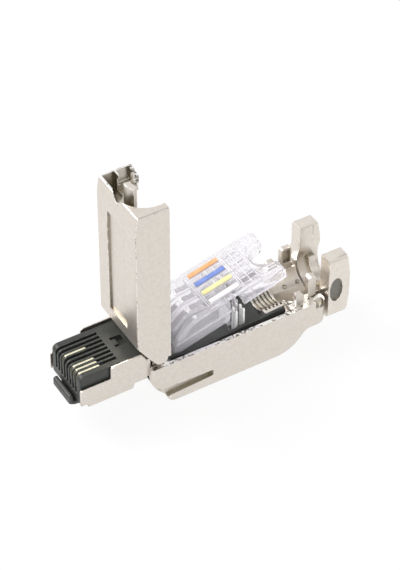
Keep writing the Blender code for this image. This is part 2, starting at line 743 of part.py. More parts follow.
def make_cover(look):
    """Upper shell, modelled closed over the rim and then turned up on its hinge."""
    end = RIM_LENGTH + 0.1
    top = COVER_DEPTH
    chamfer_x, chamfer_z = COVER_END_CHAMFER
    side = (
        arc(HINGE_X, HINGE_Z, KNUCKLE_RADIUS, 180, 116, 4)
        + [(COVER_SLOPE_END, top), (end - chamfer_x, top), (end, top - chamfer_z)]
        + [(end, -2 * EDGE_ROUND), (HINGE_X - KNUCKLE_RADIUS, -2 * EDGE_ROUND)]
    )
    cover = extrusion("XZ", [side], -HALF, HALF)
    round_edges(cover, COVER_ROUND, 2, 50)
    inner = HALF - WALL
    roof = top - WALL
    pocket = end - COVER_POCKET
    hollow = [
        (HINGE_X - 3, -3),
        (pocket - WALL, -3),
        (pocket - WALL, roof),
        (COVER_SLOPE_END + 0.6, roof),
        (HINGE_X, HINGE_Z + 0.3),
        (HINGE_X - 3, HINGE_Z - 0.6),
    ]
    heel = arc(HINGE_X, HINGE_Z, KNUCKLE_RADIUS + 0.02, 175, 270, 8)
    heel += [(HINGE_X, -3), (HINGE_X - 4, -3), (HINGE_X - 4, HINGE_Z + 0.1)]
    cut(
        cover,
        box((-5, end + 5), (-HALF - 1, HALF + 1), (-4, COVER_GAP)),
        extrusion("XZ", [heel], -HALF - 1, HALF + 1),
    )
    cut(
        cover,
        extrusion("XZ", [hollow], -inner, inner),
        cylinder("Y", (HINGE_X, HINGE_Z), 1.15, -inner + 0.05, inner - 0.05, segments=24),
        cylinder("X", (0, CABLE_AXIS), INNER_HALF - 0.45, pocket, end + 1, segments=48),
        cylinder("X", (0, CABLE_AXIS), SADDLE_RADIUS, pocket - 3, end + 1, segments=40),
        cylinder(
            "Y",
            (HINGE_X, HINGE_Z),
            HINGE_PIN_RADIUS + 0.1,
            PIN_SKIN - HALF,
            HALF - PIN_SKIN,
            segments=16,
        ),
    )
    for side_sign in (-1, 1):
        ear_room = sorted((side_sign * (INNER_HALF - 1.25), side_sign * (inner - 0.02)))
        post_room = sorted((side_sign * (POST_INNER - 0.4), side_sign * (POST_INNER + 1.4)))
        cut(
            cover,
            cylinder("Y", (HINGE_X, HINGE_Z), 1.55, *ear_room, segments=28),
            box((POST_X - 0.6, POST_X + POST_WIDTH + 0.4), post_room, (-1, POST_HEIGHT + 0.4)),
        )
    length, width, depth = LABEL_RECESS
    start = COVER_SLOPE_END + 2.4
    cut(cover, box((start, start + length), (-width / 2, width / 2), (top - depth, top + 1)))
    tongue = (TONGUE_RADIUS - TONGUE_THICKNESS, TONGUE_RADIUS)
    wall = (TONGUE_RADIUS - 0.6, SADDLE_RADIUS + 0.5)
    lug_low, lug_high = COVER_LUG
    lug = [(lug_low, 0.6)] + arc(lug_low + 0.8, -0.2, 0.8, 180, 270, 3)
    lug += arc(lug_high - 0.8, -0.2, 0.8, 270, 360, 3) + [(lug_high, 0.6)]
    join(
        cover,
        ring(*tongue, 82, 124, pocket - 0.7, end + TONGUE_REACH, 6),
        ring(*wall, 78, 128, pocket - 0.8, pocket - 0.1, 6),
        extrusion("XZ", [lug], INNER_HALF + 0.03, HALF - 0.12),
    )
    return finish(cover, "cover", look, origin=(HINGE_X, 0, HINGE_Z), turn=-COVER_OPEN_ANGLE)


def make_cover_pin(name, side, look):
    low, high = sorted((side * (INNER_HALF - 1.05), side * (HALF - PIN_SKIN - FIT)))
    pin = cylinder("Y", (HINGE_X, HINGE_Z), HINGE_PIN_RADIUS - 0.05, low, high, segments=20)
    return finish(pin, name, look, origin=(HINGE_X, 0, HINGE_Z))


# Quarter-turn lock


def make_lock(look):
    """U-shaped lever open upwards, with a collar that turns in the lower shell's end."""
    reach = HALF + 0.1
    inside = SADDLE_RADIUS
    floor = CABLE_AXIS - reach + 0.6
    arm_top = LOCK_TOP + FAR_ARM_RISE
    arm_out = reach - FAR_ARM_INSET
    arm_in = inside - FAR_ARM_INSET
    section = (
        [(-reach + 0.5, LOCK_TOP), (-reach, LOCK_TOP - 0.5)]
        + arc(-reach + 1.0, floor + 1.0, 1.0, 180, 270, 4)
        + arc(reach - 2.5, floor + 2.5, 2.5, 270, 360, 5)
        + [(reach, CABLE_AXIS + 0.4), (arm_out, CABLE_AXIS + 2.7)]
        + arc(arm_out - 0.6, arm_top - 0.6, 0.6, 0, 90, 3)
        + [(arm_in + 0.2, arm_top), (arm_in, arm_top - 0.2), (arm_in, CABLE_AXIS + 3.5)]
        + arc(0, CABLE_AXIS, inside, 20, -180, 18)
        + [(-inside, LOCK_TOP - 0.4), (-inside - 0.4, LOCK_TOP)]
    )
    lock = extrusion("YZ", [section], LOCK_START, LOCK_END + LOCK_CROWN)
    bulge = 36.0
    low, high = floor - 1, LOCK_TOP + 1
    middle = (floor + LOCK_TOP) / 2
    swing = math.degrees(math.asin((high - middle) / bulge))
    crown = arc(LOCK_END + LOCK_CROWN - bulge, middle, bulge, -swing, swing, 8)
    keep(lock, extrusion("XZ", [crown + [(LOCK_START, high), (LOCK_START, low)]], -9, 9))
    round_edges(lock, 0.3, 2, 50)
    rib_start = LOCK_START + LOCK_THICKNESS * 0.55
    join(lock, ring(GRIP_RADIUS, inside + 0.4, 181, 359, rib_start, LOCK_END - 0.3, 14))
    hole_w, hole_h, hole_depth = THUMB_HOLE
    oval = [(x * hole_w, z * hole_h) for x, z in arc(0, 0, 0.5, 0, 345, 23)]
    centre_x = (LOCK_START + LOCK_END) / 2 - 0.3
    oval = [(centre_x + x, CABLE_AXIS + 0.2 + z) for x, z in oval]
    cut(lock, extrusion("XZ", [oval], -reach - 1, -reach + hole_depth))
    collar_start = LOCK_START - COLLAR_LENGTH - FIT
    outer = COLLAR_INNER + COLLAR_WALL
    lip_end = collar_start + FLANGE_WIDTH
    lip = ring(COLLAR_INNER, outer + FLANGE_HEIGHT - SLIDE, 208, 245, collar_start, lip_end, 6)
    neck = ring(COLLAR_INNER + 0.03, outer, 209, 244, collar_start + 0.1, LOCK_START + 0.5, 6)
    join(lock, join(lip, neck))
    return finish(lock, "lock_lever", look, origin=(LOCK_START, 0, CABLE_AXIS))


# Assembly


clear_scene()
PARTS = new_collection("field_termination_ethernet_plug")
ROOT = bpy.data.objects.new("field_plug", None)
ROOT.location = (-MIDDLE_X * MM, 0.0, BASE_DEPTH * MM)
PARTS.objects.link(ROOT)

zinc = material("nickel plated zinc", (0.72, 0.69, 0.66), 0.32, 1.0)
black = material("black plastic", (0.035, 0.04, 0.038), 0.45)
gold = material("gold plated contact", (0.95, 0.86, 0.55), 0.25, 1.0)
tin = material("tinned terminal", (0.8, 0.8, 0.8), 0.25, 1.0)
clear = material("clear plastic", (0.93, 0.93, 0.97), 0.08, 0.0, 0.9)
marker_looks = {
    "orange": material("orange marker", (0.85, 0.32, 0.08), 0.4),
    "blue": material("blue marker", (0.09, 0.2, 0.6), 0.4),
    "yellow": material("yellow marker", (0.85, 0.75, 0.2), 0.4),
    "white": material("white marker", (0.9, 0.9, 0.9), 0.4),
}

make_base(zinc)
make_shield(zinc)
make_carrier(black)
make_latch(black)
for contact_number in CONTACTS:
    make_contact(contact_number, gold)
for terminal_index, wire_y in enumerate(wire_centres()):
    make_terminal(terminal_index, wire_y, tin)
make_manager(clear)
for (marker_name, marker_look), wire_y in zip(marker_looks.items(), reversed(wire_centres())):
    make_marker(marker_name, wire_y, marker_look)
make_cover(zinc)
make_cover_pin("cover_pin_near", -1, tin)
make_cover_pin("cover_pin_far", 1, tin)
make_lock(zinc)
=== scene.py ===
# %% [markdown]
# # A network plug that is wired by hand, with its cover open
#
# The real plug is a zinc casting plated with nickel. A cover swings up at the nose end, a clear
# moulding holds four wires over sharp forks, and a quarter-turn lever locks the cable at the rear.
# Its solids were made first, in a CAD script. Here they are loaded and given their looks.

import json
import math

import bmesh
import bpy
from mathutils import Matrix, Vector


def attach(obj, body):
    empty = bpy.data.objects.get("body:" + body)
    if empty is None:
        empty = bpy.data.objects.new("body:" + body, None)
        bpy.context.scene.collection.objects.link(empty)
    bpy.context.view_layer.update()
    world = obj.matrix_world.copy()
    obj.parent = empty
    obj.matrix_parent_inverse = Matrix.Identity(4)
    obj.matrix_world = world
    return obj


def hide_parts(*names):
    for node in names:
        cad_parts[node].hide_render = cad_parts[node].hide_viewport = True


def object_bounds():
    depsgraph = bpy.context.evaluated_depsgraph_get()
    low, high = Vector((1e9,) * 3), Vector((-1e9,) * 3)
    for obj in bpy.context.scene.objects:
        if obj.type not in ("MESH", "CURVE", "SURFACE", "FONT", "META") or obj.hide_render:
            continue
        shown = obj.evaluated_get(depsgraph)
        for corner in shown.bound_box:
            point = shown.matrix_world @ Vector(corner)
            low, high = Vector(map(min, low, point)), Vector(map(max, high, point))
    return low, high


MM = 1000  # millimetres in a metre

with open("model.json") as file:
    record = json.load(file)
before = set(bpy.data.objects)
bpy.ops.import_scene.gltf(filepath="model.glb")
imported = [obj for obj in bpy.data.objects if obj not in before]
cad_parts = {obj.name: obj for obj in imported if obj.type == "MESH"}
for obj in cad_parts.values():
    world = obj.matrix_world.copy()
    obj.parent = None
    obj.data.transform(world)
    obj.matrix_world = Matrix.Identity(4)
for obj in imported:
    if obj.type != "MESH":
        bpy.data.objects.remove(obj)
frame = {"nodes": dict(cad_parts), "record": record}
nodes = frame["nodes"]
cad_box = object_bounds()
size = [round((high - low) * MM, 1) for low, high in zip(*cad_box)]
print(len(nodes), "solids loaded, in a box of", size, "mm")

# %% [markdown]
# ## The camera
#
# The photograph was taken from the front left and above, with a long lens, so that the edges stay
# nearly parallel. A long focal length far away gives the same look. The image is taller than it is
# wide, so the sensor's width runs along the picture's height.

# %% Set up the camera
AZIMUTH = math.radians(-30.7)
ELEVATION = math.radians(43.2)
DISTANCE = 0.448
AIM = Vector((-0.000035, -0.00089, 0.02004))
LENS = 158
NEAR_CLIP = 0.01
back = Vector(
    (
        math.sin(AZIMUTH) * math.cos(ELEVATION),
        -math.cos(AZIMUTH) * math.cos(ELEVATION),
        math.sin(ELEVATION),
    )
)
bpy.ops.object.camera_add(location=AIM + back * DISTANCE)
camera = bpy.context.object
camera.name = "photo_camera"
camera.rotation_mode = "QUATERNION"
camera.rotation_quaternion = (-back).to_track_quat("-Z", "Y")
camera.data.lens = LENS
camera.data.clip_start = NEAR_CLIP
bpy.context.scene.camera = camera
print("camera", round(DISTANCE * MM), "mm from the plug, lens", LENS, "mm")

# %% [markdown]
# ## Helpers for nodes
#
# The sky, the floor and all the finishes are built from nodes. Each of these short helpers adds one
# node and hands back its output, so that a finish further on reads as a list of what it is made of.

# %% One node at a time


def start_material(name, colour, roughness, metallic=0.0):
    made = bpy.data.materials.new(name)
    made.use_nodes = True
    shader = made.node_tree.nodes["Principled BSDF"]
    shader.inputs["Base Color"].default_value = (*colour, 1)
    shader.inputs["Roughness"].default_value = roughness
    shader.inputs["Metallic"].default_value = metallic
    return made, shader


def colour_ramp(tree, source, *stops):
    """Turns a value into a colour. Each stop is a position and a colour; a new ramp has two."""
    ramp = tree.nodes.new("ShaderNodeValToRGB")
    elements = ramp.color_ramp.elements
    for index, (position, colour) in enumerate(stops):
        stop = elements[index] if index < 2 else elements.new(position)
        stop.position = position
        stop.color = (*colour, 1)
    tree.links.new(source, ramp.inputs["Fac"])
    return ramp.outputs["Color"]


def remap(tree, source, low, high, to_low=0.0, to_high=1.0):
    """Turns the range from low to high into the range from to_low to to_high."""
    ranged = tree.nodes.new("ShaderNodeMapRange")
    ranged.inputs["From Min"].default_value = low
    ranged.inputs["From Max"].default_value = high
    ranged.inputs["To Min"].default_value = to_low
    ranged.inputs["To Max"].default_value = to_high
    tree.links.new(source, ranged.inputs["Value"])
    return ranged.outputs["Result"]


def maths(tree, operation, *values):
    """A Math node. Each value is a number to set or an output to link."""
    node = tree.nodes.new("ShaderNodeMath")
    node.operation = operation
    for socket, value in zip(node.inputs, values):
        if isinstance(value, float):
            socket.default_value = value
        else:
            tree.links.new(value, socket)
    return node.outputs[0]


def blend_colour(tree, factor, first, second):
    """Mixes an output with a second colour, which is an output or a plain colour."""
    mixed = tree.nodes.new("ShaderNodeMix")
    mixed.data_type = "RGBA"
    start, end = mixed.inputs[6], mixed.inputs[7]
    tree.links.new(factor, mixed.inputs["Factor"])
    tree.links.new(first, start)
    if isinstance(second, tuple):
        end.default_value = (*second, 1)
    else:
        tree.links.new(second, end)
    return mixed.outputs[2]


def mix_shaders(tree, factor, first, second):
    """Mixes two shaders by a number or an output."""
    mixed = tree.nodes.new("ShaderNodeMixShader")
    if isinstance(factor, float):
        mixed.inputs["Fac"].default_value = factor
    else:
        tree.links.new(factor, mixed.inputs["Fac"])
    tree.links.new(first, mixed.inputs[1])
    tree.links.new(second, mixed.inputs[2])
    return mixed.outputs[0]


def show(tree, surface):
    tree.links.new(surface, tree.nodes["Material Output"].inputs["Surface"])


# %% [markdown]
# ## Light, floor and background
#
# Plated metal only looks like metal when it has something to mirror. The world is therefore a soft
# gradient: greyer below, white at the sides and darker straight above. Two broad lamps add a gentle
# direction.

# %% Soft studio light
LAMP_TARGET = Vector((0, 0, 0.015))
SKY = ((0.0, 0.6), (0.6, 1.0), (0.8, 1.0), (0.94, 0.3))


def area_lamp(name, place, size, power, colour):
    direction = (LAMP_TARGET - Vector(place)).normalized()
    bpy.ops.object.light_add(type="AREA", location=place)
    lamp = bpy.context.object
    lamp.name = name
    lamp.data.size = size
    lamp.data.energy = power
    lamp.data.color = colour
    lamp.rotation_mode = "QUATERNION"
    lamp.rotation_quaternion = direction.to_track_quat("-Z", "Y")
    print(name, power, "watts")


area_lamp("key_softbox", (-0.3, 0.35, 0.5), 0.35, 3.2, (1.0, 0.985, 0.96))
area_lamp("fill_softbox", (-0.25, -0.5, 0.35), 0.4, 1.2, (0.98, 0.99, 1.0))

bpy.context.scene.view_settings.view_transform = "Standard"
world = bpy.data.worlds.new("pale_studio")
bpy.context.scene.world = world
world.use_nodes = True
tree = world.node_tree
direction = tree.nodes.new("ShaderNodeTexCoord")
split = tree.nodes.new("ShaderNodeSeparateXYZ")
tree.links.new(direction.outputs["Generated"], split.inputs[0])
sky = colour_ramp(tree, split.outputs["Z"], *((height, (grey,) * 3) for height, grey in SKY))
tree.links.new(sky, tree.nodes["Background"].inputs["Color"])

# %% [markdown]
# The photograph's background is white. A Light Path node lets the camera, and whatever mirrors or
# refracts the floor, see it mostly as white, while the matt share underneath keeps a soft shadow.

# %% A white floor that keeps the shadow
FLOOR_SIZE, FLOOR_DROP = 3, 0.0002
PAPER_GREY, PAPER_ROUGHNESS = 0.86, 0.9
GLOW_SHARE = 0.88
bpy.ops.mesh.primitive_plane_add(size=FLOOR_SIZE, location=(0, 0, -FLOOR_DROP))
floor = bpy.context.object
floor.name = "studio_floor"
paper, matt = start_material("white_paper", (PAPER_GREY,) * 3, PAPER_ROUGHNESS)
matt.inputs["Specular IOR Level"].default_value = 0.0
tree = paper.node_tree
glow = tree.nodes.new("ShaderNodeEmission")
glow.inputs["Color"].default_value = (1, 1, 1, 1)
ray = tree.nodes.new("ShaderNodeLightPath").outputs
seen = maths(tree, "MAXIMUM", ray["Is Camera Ray"], ray["Is Glossy Ray"])
seen = maths(tree, "MAXIMUM", ray["Is Transmission Ray"], seen)
share = maths(tree, "MULTIPLY", seen, GLOW_SHARE)
show(tree, mix_shaders(tree, share, matt.outputs[0], glow.outputs[0]))
floor.data.materials.append(paper)
print("floor", FLOOR_SIZE, "m wide,", round(GLOW_SHARE * 100), "percent of it plain white")

# %% [markdown]
# ## Uneven surfaces
#
# No real surface is the same all over. Noise in Object coordinates keeps its pattern the same size
# on every piece. It is stretched to a range, turned into a colour between a dark and a light tone,
# or used as a fine relief.

# %% Noise, colour and relief
NOISE_LOW, NOISE_HIGH = 0.3, 0.7
DARK_STOP, LIGHT_STOP = 0.32, 0.66


def noise(tree, scale, detail=4.0, roughness=0.55):
    place = tree.nodes.new("ShaderNodeTexCoord")
    texture = tree.nodes.new("ShaderNodeTexNoise")
    texture.inputs["Scale"].default_value = scale
    texture.inputs["Detail"].default_value = detail
    texture.inputs["Roughness"].default_value = roughness
    tree.links.new(place.outputs["Object"], texture.inputs["Vector"])
    return texture.outputs["Fac"]


def spread(tree, source, low, high):
    """Turns a noise into a value between low and high."""
    return remap(tree, source, NOISE_LOW, NOISE_HIGH, low, high)


def tint(tree, source, dark, light):
    """Turns a noise into a colour between dark and light."""
    return colour_ramp(tree, source, (DARK_STOP, dark), (LIGHT_STOP, light))


def relief(tree, source, shader, height, strength):
    bump = tree.nodes.new("ShaderNodeBump")
    bump.inputs["Distance"].default_value = height
    bump.inputs["Strength"].default_value = strength
    tree.links.new(source, bump.inputs["Height"])
    tree.links.new(bump.outputs["Normal"], shader.inputs["Normal"])


# %% [markdown]
# Wear and painted light follow the shape. Corners are painted bright, partly as wear from rubbing
# and partly as a painted highlight, and a Bevel node finds them, because its rounded normal turns
# away from the real one there. Hollows get a painted shade, and an Ambient Occlusion node finds
# them, because the piece hides its own surroundings there.

# %% Masks for corners and hollows
MASK_SAMPLES = 6
CORNER_RADIUS, CORNER_START, CORNER_END = 0.0003, 0.98, 0.82
HOLLOW_REACH, HOLLOW_START, HOLLOW_END = 0.005, 0.93, 0.3


def corner_mask(tree):
    """0 on flat faces and 1 on corners."""
    soft = tree.nodes.new("ShaderNodeBevel")
    soft.samples = MASK_SAMPLES
    soft.inputs["Radius"].default_value = CORNER_RADIUS
    real = tree.nodes.new("ShaderNodeNewGeometry")
    agree = tree.nodes.new("ShaderNodeVectorMath")
    agree.operation = "DOT_PRODUCT"
    tree.links.new(soft.outputs["Normal"], agree.inputs[0])
    tree.links.new(real.outputs["Normal"], agree.inputs[1])
    return remap(tree, agree.outputs["Value"], CORNER_START, CORNER_END)


# The mask below places the painted shade in the hollows.
def hollow_shade_mask(tree):
    """0 on free faces and 1 deep inside hollows."""
    shade = tree.nodes.new("ShaderNodeAmbientOcclusion")
    shade.samples = MASK_SAMPLES
    shade.only_local = True
    shade.inputs["Distance"].default_value = HOLLOW_REACH
    return remap(tree, shade.outputs["AO"], HOLLOW_START, HOLLOW_END)


# %% [markdown]
# ## Nickel-plated zinc
#
# A casting is never perfectly smooth: its skin has a fine orange peel, and the plating is a little
# brighter or duller from place to place. Hollows get a brown painted shade, and corners are painted
# bright, partly as wear from rubbing and partly as a painted highlight, between dark pits. The
# tinned forks and the gold contacts are the same finish in other tones.

# %% Nickel plating
CLOUD_SCALE, PEEL_SCALE, PIT_SCALE = 1500, 3400, 2600
PEEL_HEIGHT, PEEL_STRENGTH = 0.00002, 0.4
PIT_START, PIT_END = 0.55, 0.62
# Corners and worn edges get this bright tone, partly as wear from rubbing and partly as a painted
# highlight.
RUBBED_AND_HIGHLIGHT = (0.97, 0.95, 0.92)
# Painted shade: the brown that darkens the hollows.
HOLLOW_SHADE = (0.29, 0.26, 0.19)
DIRT = (0.16, 0.14, 0.1)


def nickel(name, dark, light, dull, bright, hollow_shade=HOLLOW_SHADE, metallic=1.0):
    """Plated metal in two tones and two roughnesses, painted shade in its hollows, corners worn and
    painted bright.
    """
    made, shader = start_material(name, light, bright, metallic)
    tree = made.node_tree
    clouds = noise(tree, CLOUD_SCALE, 6, 0.65)
    skin = tint(tree, clouds, dark, light)
    # Painted shade: the hollows are darkened towards the shade colour.
    skin = blend_colour(tree, hollow_shade_mask(tree), skin, hollow_shade)
    corner = corner_mask(tree)
    # Corners are painted bright, partly as wear from rubbing and partly as a painted highlight.
    rub_and_highlight = spread(tree, noise(tree, CLOUD_SCALE, 5, 0.7), 0.15, 1.0)
    skin = blend_colour(tree, maths(tree, "MULTIPLY", corner, rub_and_highlight), skin, RUBBED_AND_HIGHLIGHT)
    pits = remap(tree, noise(tree, PIT_SCALE, 3, 0.6), PIT_START, PIT_END)
    skin = blend_colour(tree, maths(tree, "MULTIPLY", corner, pits), skin, DIRT)
    tree.links.new(skin, shader.inputs["Base Color"])
    tree.links.new(spread(tree, clouds, dull, bright), shader.inputs["Roughness"])
    relief(tree, noise(tree, PEEL_SCALE), shader, PEEL_HEIGHT, PEEL_STRENGTH)
    return made


plated = nickel("nickel_plate", (0.7, 0.645, 0.585), (0.77, 0.715, 0.655), 0.42, 0.34)
plated_lock = nickel("nickel_lock", (0.74, 0.685, 0.62), (0.82, 0.765, 0.7), 0.38, 0.3)
# The painted shade in the hollows of the forks and of the gold contacts.
tin_hollow_shade, gold_hollow_shade = (0.6, 0.6, 0.58), (0.9, 0.85, 0.6)
tinned = nickel("tinned_fork", (0.9, 0.9, 0.89), (0.97, 0.97, 0.97), 0.5, 0.35, tin_hollow_shade, 0.35)
gold = nickel("gold_flash", (0.92, 0.87, 0.62), (0.98, 0.95, 0.74), 0.4, 0.28, gold_hollow_shade, 0.3)
# Painted shade for the contacts' forward faces.
gold_painted_shade = nickel("gold_painted_shade", (0.1, 0.09, 0.055), (0.14, 0.13, 0.08), 0.6, 0.5, metallic=0.6)
dish_grey = nickel("thumb_dish", (0.2, 0.19, 0.175), (0.26, 0.25, 0.235), 0.6, 0.5)
print("six metals made")

# %% [markdown]
# The bevelled edges of the castings get a finish of their own: mostly bright, as a painted
# highlight, with dark chips. A second, much larger noise is added to the fine one, so that the
# chips come in runs.

# %% The finish of worn edges, with a painted highlight
CHIP_SCALE, RUN_SCALE, RUN_SHARE = 1700, 170, 0.45
CHIP_STOP, BRIGHT_STOP = 0.17, 0.25
CHIP_HEIGHT, CHIP_STRENGTH = 0.00006, 0.6


def worn_highlit_edge(name, chip, bright, roughness, metallic, share):
    """An edge in a bright tone, which is a painted highlight, with chips in a darker one. A larger
    share gives more chips.
    """
    made, shader = start_material(name, bright, roughness, metallic)
    tree = made.node_tree
    chips = noise(tree, CHIP_SCALE, 4, 0.7)
    runs = noise(tree, RUN_SCALE, 2, 0.5)
    both = maths(tree, "MULTIPLY_ADD", runs, RUN_SHARE, chips)
    skin = colour_ramp(tree, both, (share + CHIP_STOP, chip), (share + BRIGHT_STOP, bright))
    tree.links.new(skin, shader.inputs["Base Color"])
    relief(tree, chips, shader, CHIP_HEIGHT, CHIP_STRENGTH)
    return made


# Each edge's bright tone is a painted highlight, and its dark chips are wear.
plated_edge = worn_highlit_edge("nickel_edge", (0.13, 0.115, 0.09), RUBBED_AND_HIGHLIGHT, 0.32, 1.0, 0.46)
lock_edge = worn_highlit_edge("lock_edge", (0.12, 0.105, 0.08), (0.9, 0.87, 0.82), 0.32, 1.0, 0.54)
plated_rim = worn_highlit_edge("nickel_rim", (0.5, 0.46, 0.4), RUBBED_AND_HIGHLIGHT, 0.3, 1.0, 0.42)
black_edge = worn_highlit_edge("black_edge", (0.03, 0.035, 0.033), (0.1, 0.11, 0.105), 0.4, 0.0, 0.52)

# %% [markdown]
# ## Mouldings
#
# Moulded plastic has a soft cloud in its colour and a fine grain in its gloss. The black body and
# the four colour bars share this finish.

# %% Black and coloured mouldings
SHADE_SCALE, GRAIN_SCALE = 600, 5200
GRAIN_HEIGHT, GRAIN_STRENGTH = 0.000012, 0.5


def moulding(name, dark, light, roughness):
    made, shader = start_material(name, light, roughness)
    tree = made.node_tree
    grain = noise(tree, GRAIN_SCALE, 3)
    skin = tint(tree, noise(tree, SHADE_SCALE), dark, light)
    gloss = spread(tree, grain, roughness + 0.08, roughness - 0.05)
    tree.links.new(skin, shader.inputs["Base Color"])
    tree.links.new(gloss, shader.inputs["Roughness"])
    relief(tree, grain, shader, GRAIN_HEIGHT, GRAIN_STRENGTH)
    return made


black = moulding("black_moulding", (0.024, 0.026, 0.023), (0.037, 0.04, 0.035), 0.42)
MARKER_GLOSS = 0.38
marker_tones = {
    "marker_orange": ((0.78, 0.36, 0.14), (0.88, 0.48, 0.24)),
    "marker_blue": ((0.1, 0.18, 0.54), (0.2, 0.29, 0.66)),
    "marker_yellow": ((0.82, 0.76, 0.32), (0.9, 0.85, 0.45)),
    "marker_white": ((0.84, 0.84, 0.84), (0.9, 0.9, 0.9)),
}
markers = {
    name: moulding(name + "_ink", dark, light, MARKER_GLOSS)
    for name, (dark, light) in marker_tones.items()
}
print("black and", len(markers), "marker colours made")

# %% [markdown]
# The wire manager is clear, but a thick moulding is never as clear as a window. One share is seen
# through like glass, and a milky share joins it. As with glass, a face that turns away shows more
# of its gloss and less of what lies behind, and there its milky share is painted a darker grey as
# painted shade. Light that falls through it still reaches the forks, so its shadow is thin.

# %% Clear plastic
FLOW_SCALE, FLOW_HEIGHT, FLOW_STRENGTH = 240, 0.00003, 0.3
TURN_BLEND = 0.35
SHADOW_TINT = (0.86, 0.86, 0.9, 1)


def clear_plastic(name, least, most, light=(0.9, 0.88, 0.905), dark=(0.42, 0.4, 0.45)):
    """Clear plastic whose milky share goes from least, facing us, to most, seen edge-on, and turns
    to painted shade there.
    """
    made, glass = start_material(name, (0.955, 0.945, 0.96), 0.12)
    tree = made.node_tree
    glass.inputs["Transmission Weight"].default_value = 1.0
    glass.inputs["IOR"].default_value = 1.12
    glass.inputs["Coat Weight"].default_value = 1.0
    glass.inputs["Coat Roughness"].default_value = 0.04
    flow = noise(tree, FLOW_SCALE, 3)
    relief(tree, flow, glass, FLOW_HEIGHT, FLOW_STRENGTH)
    tree.links.new(spread(tree, flow, 0.14, 0.06), glass.inputs["Roughness"])
    turn = tree.nodes.new("ShaderNodeLayerWeight")
    turn.inputs["Blend"].default_value = TURN_BLEND
    facing = turn.outputs["Facing"]
    # Painted shade: the milky colour goes from light, facing us, to dark, seen edge-on.
    tone = colour_ramp(tree, facing, (0.35, light), (0.75, dark))
    cloudy = tree.nodes.new("ShaderNodeBsdfTranslucent")
    gloss = tree.nodes.new("ShaderNodeBsdfPrincipled")
    gloss.inputs["Roughness"].default_value = 0.15
    tree.links.new(tone, cloudy.inputs["Color"])
    tree.links.new(tone, gloss.inputs["Base Color"])
    milky = mix_shaders(tree, 0.5, cloudy.outputs[0], gloss.outputs[0])
    share = remap(tree, facing, 0.0, 1.0, least, most)
    body = mix_shaders(tree, share, glass.outputs[0], milky)
    shadow_ray = tree.nodes.new("ShaderNodeLightPath").outputs["Is Shadow Ray"]
    through = tree.nodes.new("ShaderNodeBsdfTransparent")
    through.inputs["Color"].default_value = SHADOW_TINT
    show(tree, mix_shaders(tree, shadow_ray, body, through.outputs[0]))
    return made


clear = clear_plastic("clear_polycarbonate", 0.17, 0.52)
# The clear edges are milkier and whiter than the body, as a painted highlight along them.
clear_edge = clear_plastic("clear_edge", 0.4, 0.8, (0.95, 0.94, 0.96))
clear_rib = clear_plastic("clear_rib", 0.55, 0.85, (0.98, 0.97, 0.99))
print("clear plastic made, for the body, its edges and its ribs")

# %% [markdown]
# ## Dress the solids
#
# Every solid gets its finish. Its gentle curves are shaded smooth, and its corners stay sharp.

# %% Dress the solids
SMOOTH_ANGLE = math.radians(32)
CONTACTS, FORKS = (1, 2, 3, 6), (1, 2, 3, 4)
finishes = {
    "base_housing": plated,
    "nose_shield": plated,
    "cover": plated,
    "lock_lever": plated_lock,
    "contact_carrier": black,
    "latch_lever": black,
    "wire_manager": clear,
    "cover_pin_near": tinned,
    "cover_pin_far": tinned,
}
finishes.update({f"contact_{number}": gold for number in CONTACTS})
finishes.update({f"idc_terminal_{number}": tinned for number in FORKS})
finishes.update(markers)


def pick(piece):
    """Makes a piece the only one that is selected, and the active one."""
    bpy.ops.object.select_all(action="DESELECT")
    piece.select_set(True)
    bpy.context.view_layer.objects.active = piece


for name, finish in finishes.items():
    node = nodes[name]
    node.data.materials.clear()
    node.data.materials.append(finish)
    pick(node)
    bpy.ops.object.shade_smooth_by_angle(angle=SMOOTH_ANGLE)
print(len(finishes), "solids dressed")

# %% [markdown]
# ## Edges that catch the light
#
# No cast or moulded edge is perfectly sharp, and the thin bright line on it is what the eye reads
# as a real edge. So the large solids are copied and get narrow bevels, and the copies stand for
# them. First comes a cutter, for the few pockets that only the castings' surface has.
#
# The Exact solver cuts a ball slightly differently on every run, so balls are cut with the Manifold
# one. That one needs a closed mesh, and a loaded solid's faces don't share their corners. Without
# the merge it cuts nothing and gives no warning, so the corners are counted before and after. The
# cutter wears the piece's own finish, so that the cut adds no empty one.

# %% Cut a small pocket
MERGE_DISTANCE = 1e-7


def merge_corners(mesh):
    """Joins the corners that lie in one place."""
    bm = bmesh.new()
    bm.from_mesh(mesh)
    bmesh.ops.remove_doubles(bm, verts=bm.verts, dist=MERGE_DISTANCE)
    bm.to_mesh(mesh)
    bm.free()


def carve(target, low, high, round_cut=False):
    """Cuts a box or a ball, given by two corners in world millimetres, out of a piece."""
    if round_cut:
        merge_corners(target.data)
    before = len(target.data.vertices)
    bpy.ops.object.select_all(action="DESELECT")
    middle = [(a + b) / 2 / MM for a, b in zip(low, high)]
    if round_cut:
        bpy.ops.mesh.primitive_uv_sphere_add(
            segments=16, ring_count=10, radius=0.5, location=middle
        )
    else:
        bpy.ops.mesh.primitive_cube_add(size=1, location=middle)
    cutter = bpy.context.object
    cutter.scale = [(b - a) / MM for a, b in zip(low, high)]
    cutter.data.materials.append(target.data.materials[0])
    bpy.context.view_layer.update()
    bpy.context.view_layer.objects.active = target
    cut = target.modifiers.new("pocket", "BOOLEAN")
    cut.operation = "DIFFERENCE"
    cut.solver = "MANIFOLD" if round_cut else "EXACT"
    cut.object = cutter
    bpy.ops.object.modifier_apply(modifier=cut.name)
    bpy.data.objects.remove(cutter, do_unlink=True)
    print(target.name, "pocket cut, corners:", before, "to", len(target.data.vertices))


# %% [markdown]
# A bevel folds over itself where an edge is too short for it. The copy's triangles are therefore
# merged back into flat faces, and only convex edges whose corners have room are marked. The bevel
# leaves every other edge as it is.

